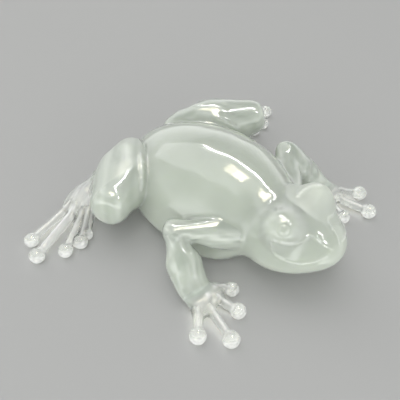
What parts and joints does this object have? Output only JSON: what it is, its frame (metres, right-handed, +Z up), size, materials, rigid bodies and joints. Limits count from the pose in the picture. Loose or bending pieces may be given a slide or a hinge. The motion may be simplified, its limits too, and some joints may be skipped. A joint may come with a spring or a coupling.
{
  "type": "glass frog figurine",
  "caption": "Solid glass tree frog figurine crouched flat on its belly, opal body with domed eyes, clear webbed hands and feet and beaded digit tips, a tabletop ornament.",
  "frame": {"origin": "on the table plane, at the middle of the whole frog's plan outline, on its plane of symmetry", "axes": "+X towards the frog's left side, -Y towards the snout, +Z up"},
  "size_m": [0.1148, 0.086, 0.0283],
  "materials": {
    "opal_glass": "polished milky opal glass, slightly green, translucent",
    "eye_glass": "polished milky opal glass dome",
    "clear_glass": "polished clear glass with a faint milky haze, fire-polished bead tips"
  },
  "bodies": {
    "root": {"body": "opal_glass", "eye_left": "eye_glass", "eye_right": "eye_glass", "upper_arm_left": "opal_glass", "upper_arm_right": "opal_glass", "forearm_left": "opal_glass", "forearm_right": "opal_glass", "thigh_left": "opal_glass", "thigh_right": "opal_glass", "shank_left": "opal_glass", "shank_right": "opal_glass", "palm_left": "clear_glass", "palm_right": "clear_glass", "foot_left": "clear_glass", "foot_right": "clear_glass", "finger_1_left": "clear_glass", "finger_1_right": "clear_glass", "finger_2_left": "clear_glass", "finger_2_right": "clear_glass", "finger_3_left": "clear_glass", "finger_3_right": "clear_glass", "finger_4_left": "clear_glass", "finger_4_right": "clear_glass", "toe_1_left": "clear_glass", "toe_1_right": "clear_glass", "toe_2_left": "clear_glass", "toe_2_right": "clear_glass", "toe_3_left": "clear_glass", "toe_3_right": "clear_glass", "toe_4_left": "clear_glass", "toe_4_right": "clear_glass", "toe_5_left": "clear_glass", "toe_5_right": "clear_glass"}
  },
  "joints": []
}
